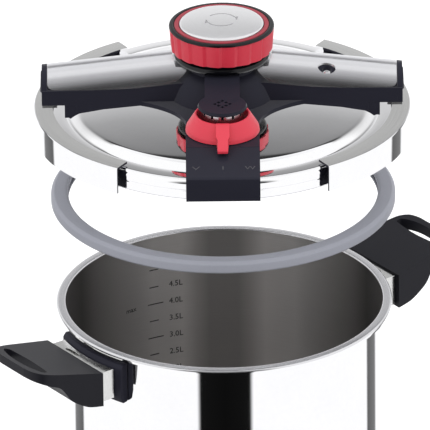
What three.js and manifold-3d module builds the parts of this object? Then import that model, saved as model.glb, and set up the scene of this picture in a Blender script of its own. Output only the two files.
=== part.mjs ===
// A stovetop pressure cooker with a clamp lid: pot, sealing ring, lid, clamping jaws, knob and pressure selector.
// Millimetres, +Z up, origin on the pot's axis where it stands on the stove.
// The lid and the sealing ring are drawn lifted off the pot, with the jaws open.
import * as THREE from "three";
import { mergeVertices } from "three/addons/utils/BufferGeometryUtils.js";
import Module from "manifold-3d";

const wasm = await Module();
wasm.setup();

// Driving dimensions
const potRadius = 110; // inside the wall
const potDepth = 158; // from the rim down to the floor inside
const steelWall = 1; // sheet of the pot
const coreThickness = 5.4; // aluminium disc under the floor
const rimOverhang = 6.5; // flat rim beyond the inside of the wall
const rimDrop = 3.1; // how far the rim's turned edge hangs down
const liftHeight = 134.5; // lid above its closed place
const sealLift = 74.3; // sealing ring above its closed place
const jawTravel = 7.2; // each jaw's stroke
const knobTurn = THREE.MathUtils.degToRad(120); // knob from open to locked
const jawSpan = THREE.MathUtils.degToRad(58); // half of the arc that a jaw holds
const hookSpan = THREE.MathUtils.degToRad(32); // half of the arc of its lower hook
const handleAngle = THREE.MathUtils.degToRad(36); // handles are turned from the arms
const handleTilt = THREE.MathUtils.degToRad(13); // grips rise outwards
const gap = 0.3; // between pieces that touch
const slack = 0.6; // between pieces that slide

// Dimensions worked out from them
const wallRadius = potRadius + steelWall;
const rimRadius = potRadius + rimOverhang;
const floorUnder = 1 + coreThickness + 2 * gap; // underside of the pot's floor
const rimHeight = floorUnder + steelWall + potDepth;
const baseRadius = potRadius - 9.5;
const lidSheet = 1.2;
const skirtInside = rimRadius + 2.9;
const skirtRadius = skirtInside + lidSheet;
const flangeTop = 11.4; // lid flange above the pot's rim when closed
const jawSheet = 1.4;
const jawInside = skirtRadius + slack;
const jawRadius = jawInside + jawSheet;
const jawTop = flangeTop + 2.6;
const jawBottom = -rimDrop - 2.6;
const hookInside = rimRadius - 3.1;
const jawFlangeInside = jawRadius - 12.9;
const valveY = -65; // working valve and selector on the front strip
const sideValveX = 72; // indicator in the right arm, relief valve in the left
const sideValveY = -11;
const stripHalf = 25.25;
const platformTop = 23.6;
const armEnd = 124;
const coverEnd = 120;
const armSlope = Math.atan(9.2 / 81); // covers rise towards the knob
const armAxisHeight = 30.7; // of the cover's barrel at its middle
const armMiddle = 78;
const camRadius = 25;
const pinOpen = 20; // follower pin from the axis when the jaws are open
const pinRadius = 2.4;
const studRadius = 4;
const barrelRadius = 17.5; // of the covers
const coverInner = 36.3; // where a cover's barrel begins beside the knob
const rivetX = 112.2; // rivets that hold a jaw to its arm
const rivetY = 3.3;
const armLow = 27.6; // jaw arm's strip
const armHigh = armLow + 2;
const footTop = jawTop + gap + 1.9; // jaw arm's foot on the jaw's flange
const smooth = 40; // segments of a large turned piece
const medium = 30; // segments of the knob, the selector and the arms
const round = 12; // segments of a small one

// Solids

function solidOf(geometry) {
  const bare = geometry.index ? geometry.toNonIndexed() : geometry.clone();
  bare.deleteAttribute("normal");
  bare.deleteAttribute("uv");
  const merged = mergeVertices(bare, 1e-4);
  const corners = merged.index.array;
  const kept = [];
  for (let i = 0; i < corners.length; i += 3) {
    const [a, b, c] = corners.slice(i, i + 3);
    if (a !== b && b !== c && a !== c) kept.push(a, b, c);
  }
  const triVerts = new Uint32Array(kept);
  const vertProperties = merged.attributes.position.array;
  return new wasm.Manifold(new wasm.Mesh({ numProp: 3, vertProperties, triVerts }));
}

function geometryOf(solid) {
  const { numProp, numVert, vertProperties, triVerts } = solid.getMesh();
  const positions = new Float32Array(numVert * 3);
  for (let i = 0; i < numVert; i++) {
    positions.set(vertProperties.subarray(i * numProp, i * numProp + 3), i * 3);
  }
  const geometry = new THREE.BufferGeometry();
  geometry.setAttribute("position", new THREE.BufferAttribute(positions, 3));
  geometry.setIndex(new THREE.BufferAttribute(new Uint32Array(triVerts), 1));
  geometry.computeVertexNormals();
  return geometry;
}

// A closed outline of [radius, height] points turned round the Z axis.
function turned(outline, segments = round, x = 0, y = 0) {
  const area = outline.reduce((sum, [r, z], i) => {
    const [nextR, nextZ] = outline[(i + 1) % outline.length];
    return sum + r * nextZ - nextR * z;
  }, 0);
  const ordered = area > 0 ? [...outline] : [...outline].reverse();
  const points = [...ordered, ordered[0]].map(([r, z]) => new THREE.Vector2(r, z));
  const lathe = new THREE.LatheGeometry(points, segments).rotateX(Math.PI / 2);
  return solidOf(lathe.translate(x, y, 0));
}

function disc(radius, low, high, x = 0, y = 0, segments = round) {
  return turned([[0, low], [radius, low], [radius, high], [0, high]], segments, x, y);
}

function washer(inside, outside, low, high, x = 0, y = 0, segments = round) {
  const outline = [[inside, low], [outside, low], [outside, high], [inside, high]];
  return turned(outline, segments, x, y);
}

function block(x0, x1, y0, y1, z0, z1) {
  const box = new THREE.BoxGeometry(x1 - x0, y1 - y0, z1 - z0);
  return solidOf(box.translate((x0 + x1) / 2, (y0 + y1) / 2, (z0 + z1) / 2));
}

// A plan outline raised from low to high.
function raised(shape, low, high) {
  const depth = high - low;
  const settings = { depth, bevelEnabled: false, curveSegments: round };
  const extruded = new THREE.ExtrudeGeometry(shape, settings);
  return solidOf(extruded.translate(0, 0, low));
}

function polygon(points) {
  return new THREE.Shape(points.map(([x, y]) => new THREE.Vector2(x, y)));
}

// An outline of [x, z] points, made thick along Y between -half and +half.
function sideCut(points, half) {
  const depth = 2 * half;
  const extruded = new THREE.ExtrudeGeometry(polygon(points), { depth, bevelEnabled: false });
  return solidOf(extruded.rotateX(Math.PI / 2).translate(0, half, 0));
}

// An outline of [y, z] points, made thick along X between -half and +half.
function endCut(points, half) {
  const depth = 2 * half;
  const extruded = new THREE.ExtrudeGeometry(polygon(points), { depth, bevelEnabled: false });
  const standing = extruded.rotateX(Math.PI / 2).rotateZ(Math.PI / 2);
  return solidOf(standing.translate(-half, 0, 0));
}

// A wedge of the plan between -span and +span about the X axis.
function wedge(span, low, high) {
  const reach = 2 * jawRadius;
  const shape = new THREE.Shape();
  shape.moveTo(0, 0);
  shape.lineTo(reach * Math.cos(span), -reach * Math.sin(span));
  shape.absarc(0, 0, reach, -span, span, false);
  return raised(shape, low, high);
}

function hexagon(acrossCorners, bore, low, high, x = 0, y = 0) {
  const nut = disc(acrossCorners, low, high, x, y, 6);
  return nut.subtract(disc(bore, low - 1, high + 1, x, y));
}

// Materials

function finish(color, roughness, metalness) {
  return new THREE.MeshStandardMaterial({ color, roughness, metalness });
}

const mirrorSteel = finish(0xd9d9db, 0.08, 1);
const brushedSteel = finish(0xb9b9bb, 0.35, 1);
const aluminium = finish(0xc9cacc, 0.45, 1);
const blackPlastic = finish(0x26262a, 0.5, 0);
const redPlastic = finish(0xd32a3c, 0.42, 0);
const greyRubber = finish(0x8b8f98, 0.6, 0);
const darkRubber = finish(0x1d1d1f, 0.75, 0);
const zincSteel = finish(0x9a9c9f, 0.4, 1);

function piece(name, solid, material) {
  const mesh = new THREE.Mesh(geometryOf(solid), material);
  mesh.name = name;
  return mesh;
}

function groupOf(...members) {
  const group = new THREE.Group();
  group.add(...members);
  return group;
}

// Pot

function potShell() {
  const floorTop = floorUnder + steelWall;
  const corner = 8; // inside radius between floor and wall
  const outline = [[0, floorUnder]];
  for (let i = 0; i <= 4; i++) {
    const angle = (i / 4) * (Math.PI / 2);
    const reach = corner + steelWall;
    const low = floorTop + corner - reach * Math.cos(angle);
    outline.push([potRadius - corner + reach * Math.sin(angle), low]);
  }
  outline.push(
    [wallRadius, rimHeight - 2.4],
    [wallRadius + 0.8, rimHeight - 1.1],
    [rimRadius - 1.7, rimHeight - 1],
    [rimRadius - 1, rimHeight - 1.8],
    [rimRadius - 1, rimHeight - rimDrop],
    [rimRadius, rimHeight - rimDrop],
    [rimRadius, rimHeight - 1.4],
    [rimRadius - 1.2, rimHeight - 0.1],
    [potRadius + 0.9, rimHeight],
    [potRadius, rimHeight - 1],
  );
  for (let i = 4; i >= 0; i--) {
    const angle = (i / 4) * (Math.PI / 2);
    const low = floorTop + corner - corner * Math.cos(angle);
    outline.push([potRadius - corner + corner * Math.sin(angle), low]);
  }
  outline.push([0, floorTop]);
  return turned(outline, smooth);
}

function baseCap() {
  const top = floorUnder - gap;
  const outline = [
    [0, 0],
    [baseRadius - 3, 0],
    [baseRadius - 0.9, 0.9],
    [baseRadius, 3],
    [baseRadius, top],
    [baseRadius - 1, top],
    [baseRadius - 1, 3.2],
    [baseRadius - 1.7, 1.7],
    [baseRadius - 3.2, 1],
    [0, 1],
  ];
  return turned(outline, smooth);
}

function baseCore() {
  const low = 1 + gap;
  const high = low + coreThickness;
  const radius = baseRadius - 1 - gap;
  const outline = [[0, low], [radius - 2.4, low], [radius, low + 2.2], [radius, high], [0, high]];
  return turned(outline, smooth);
}

// Handles: drawn along +X with Z measured from the pot's rim, then turned to their angle.

const gripRoot = 127.3;
const gripEnd = 181;
const gripHalf = 33;
const slotInner = 167;
const slotOuter = 176;
const slotHalf = 21;
const gripThickness = 9.5;
const gripTop = (x) => -10.5 + (x - 118) * Math.tan(handleTilt);
const tongueLow = -21;
const tongueHigh = tongueLow + 3;
const screwX = 141;
const collarSpan = THREE.MathUtils.degToRad(17); // half of the arc of the collar

function handleBracket() {
  const plate = block(wallRadius + 0.4, wallRadius + 2.4, -13, 13, -32, -12);
  const tongue = block(wallRadius + 2, 152, -11, 11, tongueLow, tongueHigh);
  return plate.add(tongue).subtract(disc(2.4, tongueLow - 1, tongueHigh + 1, screwX));
}

// Room for the bracket's tongue, with clearance all round
function tongueWay() {
  return block(0, 150, -11.4, 11.4, tongueLow - 0.4, tongueHigh + 0.4);
}

function handleCollar() {
  const outline = [
    [wallRadius + gap, -36],
    [wallRadius + 5.5, -36],
    [wallRadius + 7.5, -30],
    [wallRadius + 7.5, -10],
    [wallRadius + 5, jawBottom - 0.9],
    [wallRadius + gap, jawBottom - 0.9],
  ];
  const band = turned(outline, smooth).intersect(wedge(collarSpan, -40, 0));
  const plateWay = block(0, 140, -13.4, 13.4, -32.4, -11.6);
  return band.subtract(plateWay).subtract(tongueWay());
}

// The crescent between the collar and the grip's root.
function guardPlan(inset) {
  const inside = wallRadius + 8 + inset;
  const half = 29 - inset;
  const angle = Math.asin(half / inside);
  const shape = new THREE.Shape();
  shape.absarc(0, 0, inside, -angle, angle, false);
  shape.lineTo(gripRoot - gap, half);
  shape.lineTo(gripRoot - gap, -half);
  return shape;
}

function flameGuard() {
  const top = gripTop(wallRadius + 10);
  const shell = raised(guardPlan(0), -32, top).subtract(raised(guardPlan(1.2), -30.8, top - 1.2));
  const airSlot = block(gripRoot - 6, gripRoot - 3.6, -16, -4, top - 3, top + 3);
  return shell.subtract(tongueWay()).subtract(airSlot);
}

function gripPlan() {
  const cornerR = 15;
  const shape = new THREE.Shape();
  shape.moveTo(gripRoot, -gripHalf);
  shape.lineTo(gripEnd - cornerR - 2, -gripHalf + 3);
  shape.quadraticCurveTo(gripEnd - 1, -gripHalf + 5, gripEnd, -gripHalf + cornerR + 5);
  shape.lineTo(gripEnd, gripHalf - cornerR - 5);
  shape.quadraticCurveTo(gripEnd - 1, gripHalf - 5, gripEnd - cornerR - 2, gripHalf - 3);
  shape.lineTo(gripRoot, gripHalf);
  return shape;
}

function fingerSlot() {
  const shape = new THREE.Shape();
  shape.moveTo(slotInner, -slotHalf);
  shape.quadraticCurveTo(slotInner - 2.6, 0, slotInner, slotHalf);
  shape.quadraticCurveTo(slotInner + 2, slotHalf + 4, slotInner + 5, slotHalf + 1);
  shape.quadraticCurveTo(slotOuter + 2, 0, slotInner + 5, -slotHalf - 1);
  shape.quadraticCurveTo(slotInner + 2, -slotHalf - 4, slotInner, -slotHalf);
  return shape;
}

function handleGrip() {
  const side = [
    [gripRoot, gripTop(gripRoot)],
    [gripEnd, gripTop(gripEnd)],
    [gripEnd, gripTop(gripEnd) - gripThickness + 3],
    [160, gripTop(160) - gripThickness],
    [152, -17.5],
    [144, -27],
    [136, -32],
    [gripRoot, -33.5],
  ];
  const body = raised(gripPlan(), -40, 20).intersect(sideCut(side, gripHalf + 1));
  const socket = block(gripRoot - 1, 152.6, -11.6, 11.6, tongueLow - 0.5, tongueHigh + 0.5);
  const screwHole = disc(2.4, -40, tongueHigh + 3, screwX);
  const headHole = disc(4.5, -40, -26, screwX);
  const slot = raised(fingerSlot(), -40, 20);
  return body.subtract(socket).subtract(screwHole).subtract(headHole).subtract(slot);
}

function handleScrew() {
  const shank = disc(2, -26, tongueHigh + 2.4, screwX);
  return shank.add(disc(4, -25.7 - 2.6, -25.7, screwX)).translate([0, 0, -gap]);
}

function handle(side, angle) {
  const group = groupOf(
    piece(side + "_bracket", handleBracket(), brushedSteel),
    piece(side + "_collar", handleCollar(), blackPlastic),
    piece(side + "_flame_guard", flameGuard(), mirrorSteel),
    piece(side + "_grip", handleGrip(), blackPlastic),
    piece(side + "_handle_screw", handleScrew(), zincSteel),
  );
  group.rotation.z = angle;
  group.position.z = rimHeight;
  return group;
}

// Sealing ring, drawn closed: its foot rests on the pot's rim.

function sealingRing() {
  const inside = rimRadius - 9.5;
  const outside = skirtInside - 0.4;
  const foot = gap;
  const top = 9.3;
  const outline = [
    [inside + 2, foot],
    [outside - 1.5, foot],
    [outside, foot + 1.5],
    [outside, top - 2.2],
    [outside - 2.2, top],
    [inside + 2, top],
    [inside, top - 1.2],
    [inside, top - 3],
    [inside + 6, top - 3.6],
    [inside + 6, foot + 3.4],
    [inside, foot + 2.6],
    [inside, foot + 1.4],
  ];
  return turned(outline, smooth);
}

// Lid: drawn closed, with Z measured from the pot's rim.

const lidProfile = [
  [0, 22],
  [60, 20],
  [84, 17.5],
  [94, 15.6],
  [100, 13.4],
  [103.4, 11.2],
  [105.2, 10.4],
  [107, flangeTop],
  [skirtRadius - 3.2, flangeTop - 0.4],
  [skirtRadius - 0.9, flangeTop - 1.6],
  [skirtRadius, flangeTop - 3.8],
];

function lidHeight(radius) {
  const i = lidProfile.findIndex(([r]) => r >= radius);
  const [r1, z1] = lidProfile[i];
  const [r0, z0] = lidProfile[i - 1];
  return z0 + ((z1 - z0) * (radius - r0)) / (r1 - r0);
}

function lidShell() {
  const inside = lidProfile
    .slice(0, -2)
    .map(([r, z]) => [Math.max(0, r - (r > 110 ? 0.4 : 0)), z - lidSheet]);
  const outline = [
    ...lidProfile,
    [skirtRadius, -rimDrop],
    [skirtInside, -rimDrop],
    [skirtInside, flangeTop - 3.6],
    ...inside.reverse(),
  ];
  return turned(outline, smooth)
    .subtract(disc(studRadius + 0.4, 0, 30))
    .subtract(disc(6.4, 0, 30, 0, valveY))
    .subtract(disc(3.4, 0, 30, sideValveX, sideValveY))
    .subtract(disc(3.9, 0, 30, -sideValveX, sideValveY));
}

// The lid's outside grown by a clearance, to cut what stands on it.
function lidClearance() {
  const grown = lidProfile.map(([r, z]) => [r + (r > 110 ? slack : 0), z + 0.4]);
  return turned([...grown, [skirtRadius + slack, -20], [0, -20]], smooth);
}

function armBarrel(radius, fromX, toX) {
  const barrel = new THREE.CylinderGeometry(radius, radius, 140, medium).rotateZ(Math.PI / 2);
  const solid = solidOf(barrel.rotateY(armSlope).translate(armMiddle, 0, armAxisHeight));
  return solid.intersect(block(fromX, toX, -30, 30, -10, 80));
}

const coverFoot = [[30, 37.2], [42, 35.8], [60, 33.8], [80, 32.8], [armEnd + 1, 32.2]];

function armCover() {
  const above = sideCut([...coverFoot, [armEnd + 1, 70], [30, 70]], 40);
  const inside = armBarrel(barrelRadius - 1.2, coverInner + 1.2, armEnd + 10);
  const skin = armBarrel(barrelRadius, coverInner, coverEnd).subtract(inside);
  const tongue = block(24, coverInner + 0.6, -13, 13, 43.4, 44.6);
  return skin.intersect(above).add(tongue);
}

function rightCover() {
  const half = 3.2;
  const ends = disc(3, 40, 60, -half).add(disc(3, 40, 60, half));
  const window = ends.add(block(-half, half, -3, 3, 40, 60));
  return armCover().subtract(window.translate([sideValveX, sideValveY, 0]));
}

function armBody() {
  const under = coverFoot.map(([x, z]) => [x, z - gap]);
  const side = [[0, 0], [0, 36.9], ...under, [armEnd, 31], [armEnd, 0]];
  const walls = sideCut(side, barrelRadius - gap);
  const endCap = armBarrel(barrelRadius, coverEnd + gap, armEnd);
  const core = armBarrel(barrelRadius - 1.5, coverInner + 1.5, coverEnd).add(endCap);
  const endRoom = block(100.5, 140, -30, 30, -20, 21.2);
  const foot = block(100.5, 108.3, -17, 17, 5, 22);
  const footWay = block(100, 140, -8.5, 8.5, 0, 21.2);
  return walls.add(core).subtract(endRoom).add(foot).subtract(footWay);
}

function jawArmWay() {
  const end = rivetX + 4.8;
  const channel = block(15, end, -6.6, 6.6, 26.9, 30.4);
  return channel.add(block(rivetX - 6.4, end, -6.6, 6.6, 0, 30.4));
}

function hubFlare(grow) {
  const outline = [
    [0, 5],
    [43, 5],
    [38.5, 18],
    [37, 25],
    [33.6, 34],
    [30, 39.6],
    [24, 43],
    [22.5, 47.5],
    [0, 47.5],
  ];
  return turned(outline.map(([r, z]) => [r > 0 ? r + grow : 0, z + grow]), medium);
}

function basePlan() {
  const shape = new THREE.Shape();
  shape.moveTo(-stripHalf, -50);
  shape.lineTo(-stripHalf, -92);
  shape.lineTo(stripHalf, -92);
  shape.lineTo(stripHalf, -50);
  shape.quadraticCurveTo(30, -30, 56, -barrelRadius + 0.3);
  shape.lineTo(56, 0);
  shape.lineTo(-56, 0);
  shape.lineTo(-56, -barrelRadius + 0.3);
  shape.quadraticCurveTo(-30, -30, -stripHalf, -50);
  return shape;
}

function frontStrip() {
  const side = [
    [-91, 0],
    [-91, platformTop],
    [-124.4, 16.6],
    [-126.2, 15],
    [-126.6, 11],
    [-126.6, -1],
    [-123.4, -1],
    [-123.4, 0],
  ];
  return endCut(side, stripHalf);
}

function bridgeHousing() {
  const arm = armBody();
  const mirrored = arm.rotate([0, 0, 180]);
  const way = jawArmWay();
  const pinWell = disc(3.1, 0, 60, sideValveX, sideValveY);
  const sleeveWell = disc(4.6, 0, 26, sideValveX, sideValveY);
  const reliefWell = disc(4.7, 0, 32, -sideValveX, sideValveY);
  return arm
    .add(mirrored)
    .add(hubFlare(0))
    .add(raised(basePlan(), 0, platformTop))
    .add(frontStrip())
    .subtract(lidClearance())
    .subtract(disc(27, 25.6, 36))
    .subtract(disc(8.4, 20, 60))
    .subtract(way)
    .subtract(way.rotate([0, 0, 180]))
    .subtract(disc(14.8, 0, 60, 0, valveY))
    .subtract(pinWell)
    .subtract(sleeveWell)
    .subtract(reliefWell);
}

function floorWasher() {
  return washer(studRadius + gap, 8.1, lidHeight(8.1) + 0.8, 25.3);
}

const hoodLow = 40.6;
const hoodTop = 43.4;
const hoodRadius = 17;

function valveHood() {
  const rim = [
    [0, hoodLow],
    [hoodRadius - 1, hoodLow],
    [hoodRadius, hoodLow + 1],
    [hoodRadius - 0.8, hoodTop],
    [0, hoodTop],
  ];
  const side = [[-54, hoodLow], [-54, hoodTop], [-34, 47.8], [-24, 47.8], [-20, 40], [-34, 38]];
  const collarRoom = disc(35, 47.9, 60);
  const neck = endCut(side, 12).subtract(hubFlare(gap)).subtract(collarRoom);
  let hood = turned(rim, medium, 0, valveY).add(neck);
  const pitch = 3.6;
  const hole = 1.1;
  for (let row = -1; row <= 1; row++) {
    for (let column = -1; column <= 1; column++) {
      if (row === 0 && column === 0) continue;
      const x = (row + column) * pitch * Math.SQRT1_2;
      const y = valveY + (row - column) * pitch * Math.SQRT1_2;
      hood = hood.subtract(disc(hole * Math.SQRT2, 30, 50, x, y, 4));
    }
  }
  return hood;
}

// Working valve

const bodyTop = 40.2;

function valveBody() {
  const seat = 20.8;
  const outline = [
    [2.3, 8],
    [6, 8],
    [6, seat],
    [10, seat],
    [10.6, 24],
    [14.3, 26],
    [14.3, bodyTop],
    [12.3, bodyTop],
    [12.3, 27],
    [8, 25.6],
    [2.3, 25.6],
  ];
  let body = turned(outline, medium, 0, valveY);
  const teeth = 12;
  for (let i = 0; i < teeth; i++) {
    const notch = block(11, 16, -0.9, 0.9, bodyTop - 2.6, bodyTop + 2);
    body = body.subtract(notch.rotate([0, 0, (i * 360) / teeth]).translate([0, valveY, 0]));
  }
  return body;
}

function valvePlunger() {
  const outline = [
    [0, 9],
    [1.2, 9],
    [1.9, 11],
    [1.9, 25.9],
    [7, 25.9],
    [7, 27.4],
    [2.5, 27.4],
    [2.5, 37.4],
    [0, 37.4],
  ];
  return turned(outline, round, 0, valveY);
}

class Helix extends THREE.Curve {
  constructor(radius, turns, low, high) {
    super();
    Object.assign(this, { radius, turns, low, high });
  }
  getPoint(t, target = new THREE.Vector3()) {
    const angle = 2 * Math.PI * this.turns * t;
    return target.set(
      this.radius * Math.cos(angle),
      this.radius * Math.sin(angle),
      this.low + (this.high - this.low) * t,
    );
  }
}

function valveSpring() {
  const wire = 0.6;
  const section = new THREE.Shape();
  for (let i = 0; i < 5; i++) {
    const angle = (i * 2 * Math.PI) / 5;
    const x = wire * Math.cos(angle);
    const y = wire * Math.sin(angle);
    if (i === 0) section.moveTo(x, y);
    else section.lineTo(x, y);
  }
  const extrudePath = new Helix(4.8, 4, 28.4, 34.2);
  const coil = new THREE.ExtrudeGeometry(section, { steps: 40, extrudePath, bevelEnabled: false });
  return solidOf(coil.translate(0, valveY, 0));
}

// Pressure indicator and relief valve in the arms

function indicatorSleeve() {
  const seat = lidHeight(sideValveX - 4) + gap + 0.2;
  const outline = [[1.8, 11.5], [3, 11.5], [3, seat], [4.2, seat], [4.2, 25], [1.8, 25]];
  return turned(outline, round, sideValveX, sideValveY);
}

function indicatorPin() {
  const outline = [
    [0, 5.5],
    [2.6, 5.5],
    [2.6, 7],
    [1.4, 7],
    [1.4, 38],
    [2.5, 38],
    [2.5, 41.5],
    [1.6, 42.4],
    [0, 42.4],
  ];
  return turned(outline, round, sideValveX, sideValveY);
}

function reliefSeat() {
  const seat = lidHeight(sideValveX - 4) + gap + 0.2;
  const outline = [[2.1, 11.5], [3.5, 11.5], [3.5, seat], [4.3, seat], [4.3, 24], [2.1, 24]];
  return turned(outline, round, -sideValveX, sideValveY);
}

function reliefPlug() {
  const outline = [
    [0, 12.5],
    [1.2, 12.5],
    [1.8, 14],
    [1.8, 24.3],
    [4, 24.3],
    [4, 26.8],
    [2.6, 28],
    [0, 28],
  ];
  return turned(outline, round, -sideValveX, sideValveY);
}

// Knob, drawn on the lid's axis

function knobGrip() {
  const outline = [[0, 56.4], [34.9, 56.4], [36.4, 60], [36.4, 72], [0, 72]];
  const facets = 20;
  return turned(outline, facets).subtract(disc(34.2, 50, 80, 0, 0, medium));
}

function knobBand() {
  const outline = [
    [8.4, 56.1],
    [33.9, 56.1],
    [33.9, 72.3],
    [36.3, 72.3],
    [36.3, 73.3],
    [35.5, 74],
    [32.8, 74],
    [32.8, 72],
    [31, 72],
    [31, 58.6],
    [8.4, 58.6],
  ];
  return turned(outline, medium);
}

function knobInnerRing() {
  const outline = [[29.4, 64], [30.7, 64], [30.7, 72.3], [32.5, 72.3], [32.5, 74.2], [29.4, 74.2]];
  return turned(outline, medium);
}

function knobCap() {
  const outline = [
    [28, 66],
    [29, 66],
    [29, 74.2],
    [27.4, 75.3],
    [20, 76.4],
    [0, 77.2],
    [0, 76.2],
    [19.8, 75.4],
    [26.9, 74.3],
    [28, 73.6],
  ];
  return turned(outline, medium);
}

function knobCollar() {
  const outline = [
    [8.4, 48.2],
    [28, 48.2],
    [32, 49.6],
    [33, 51.4],
    [32.4, 53.2],
    [30.5, 54.2],
    [30.5, 55.8],
    [8.4, 55.8],
  ];
  return turned(outline, medium);
}

function knobSpindle() {
  const outline = [
    [studRadius + 0.4, 34.6],
    [8, 34.6],
    [8, 58.9],
    [12, 58.9],
    [12, 61.4],
    [studRadius + 0.4, 61.4],
  ];
  return turned(outline, round);
}

// The cam's two spiral slots pull the follower pins in by the jaws' travel over the knob's turn.
function camSlot() {
  const half = pinRadius + 0.4;
  const rate = jawTravel / knobTurn;
  const margin = 0.03;
  const steps = 9;
  const outer = [];
  const inner = [];
  for (let i = 0; i <= steps; i++) {
    const angle = -margin + (i / steps) * (knobTurn + 2 * margin);
    const radius = pinOpen - rate * angle;
    outer.push([(radius + half) * Math.cos(angle), (radius + half) * Math.sin(angle)]);
    inner.unshift([(radius - half) * Math.cos(angle), (radius - half) * Math.sin(angle)]);
  }
  const pinClosed = pinOpen - jawTravel;
  const closedX = pinClosed * Math.cos(knobTurn);
  const closedY = pinClosed * Math.sin(knobTurn);
  return raised(polygon([...outer, ...inner]), 25, 40)
    .add(disc(half, 25, 40, pinOpen, 0))
    .add(disc(half, 25, 40, closedX, closedY));
}

function camDisc() {
  const slot = camSlot();
  return washer(studRadius + 0.4, camRadius, 31.5, 34.3, 0, 0, medium)
    .subtract(slot)
    .subtract(slot.rotate([0, 0, 180]));
}

// Stud that bolts the bridge to the lid and carries the knob

function centreStud() {
  return disc(9, 14.5, 18).add(disc(studRadius, 17, 64.5));
}

// Jaws: drawn closed on the +X side

function jaw() {
  const flange = [
    [jawFlangeInside, jawTop - 1.6],
    [jawInside, jawTop - 1.6],
    [jawInside, jawBottom + 0.6],
    [jawRadius, jawBottom + 0.6],
    [jawRadius, jawTop - 1.8],
    [jawRadius - 0.6, jawTop - 0.5],
    [jawRadius - 1.8, jawTop],
    [jawFlangeInside, jawTop],
  ];
  const hook = [
    [hookInside, jawBottom],
    [jawRadius, jawBottom],
    [jawRadius, jawBottom + 1.8],
    [hookInside, jawBottom + 1.8],
  ];
  const span = wedge(jawSpan, -30, 30);
  return turned(flange, smooth)
    .intersect(span)
    .add(turned(hook, smooth).intersect(wedge(hookSpan, -30, 30)))
    .subtract(disc(1.8, 0, 20, rivetX, rivetY))
    .subtract(disc(1.8, 0, 20, rivetX, -rivetY));
}

function jawArm() {
  const bend = rivetX - 5.8;
  const end = rivetX + 4.4;
  const side = [
    [9.6, armLow],
    [bend, armLow],
    [bend, jawTop + gap],
    [end, jawTop + gap],
    [end, footTop],
    [bend + 2, footTop],
    [bend + 2, armHigh],
    [9.6, armHigh],
  ];
  return sideCut(side, 6)
    .subtract(disc(1.6, 20, 40, pinOpen - jawTravel, 0))
    .subtract(disc(1.8, 10, 20, rivetX, rivetY))
    .subtract(disc(1.8, 10, 20, rivetX, -rivetY));
}

function followerPin() {
  const outline = [
    [0, armLow - 0.4],
    [1.3, armLow - 0.4],
    [1.3, armHigh + gap],
    [pinRadius, armHigh + gap],
    [pinRadius, 34.8],
    [0, 34.8],
  ];
  return turned(outline, round, pinOpen - jawTravel, 0);
}

function rivet(y) {
  const outline = [
    [0, jawTop - 1.5],
    [1.5, jawTop - 1.5],
    [1.5, footTop + gap],
    [2.7, footTop + gap],
    [2.2, footTop + 1.4],
    [0, footTop + 1.6],
  ];
  return turned(outline, round, rivetX, y);
}

function jawAssembly(side, angle) {
  const group = groupOf(
    piece(side + "_jaw", jaw(), mirrorSteel),
    piece(side + "_jaw_arm", jawArm(), zincSteel),
    piece(side + "_follower_pin", followerPin(), zincSteel),
    piece(side + "_jaw_rivet_front", rivet(-rivetY), zincSteel),
    piece(side + "_jaw_rivet_rear", rivet(rivetY), zincSteel),
  );
  group.position.set(jawTravel * Math.cos(angle), jawTravel * Math.sin(angle), 0);
  group.rotation.z = angle;
  return group;
}

// Selector ring with its pointer

function selectorRing() {
  const foot = platformTop + 0.6;
  const outline = [[17.6, foot], [25.4, foot], [25, foot + 3], [19, 36.2], [18, 36.7], [17.6, 36]];
  const side = [[-82, 36], [-84.5, 37.6], [-103.4, 26.6], [-104, 25.6], [-104, foot], [-84, foot]];
  return turned(outline, medium, 0, valveY).add(endCut(side, 3.8));
}

// Assembly

const pot = groupOf(
  piece("pot_shell", potShell(), mirrorSteel),
  piece("base_core", baseCore(), aluminium),
  piece("base_cap", baseCap(), brushedSteel),
  handle("right", handleAngle),
  handle("left", handleAngle + Math.PI),
);

const seal = groupOf(piece("sealing_ring", sealingRing(), greyRubber));
seal.position.z = rimHeight + sealLift;

const nutTop = lidHeight(sideValveX + 8) - lidSheet - 0.6;
const valveNutTop = lidHeight(-valveY + 10) - lidSheet - 0.6;

const knob = groupOf(
  piece("knob_grip", knobGrip(), redPlastic),
  piece("knob_band", knobBand(), blackPlastic),
  piece("knob_inner_ring", knobInnerRing(), redPlastic),
  piece("knob_cap", knobCap(), brushedSteel),
  piece("knob_collar", knobCollar(), blackPlastic),
  piece("knob_spindle", knobSpindle(), zincSteel),
  piece("cam_disc", camDisc(), zincSteel),
);

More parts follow.
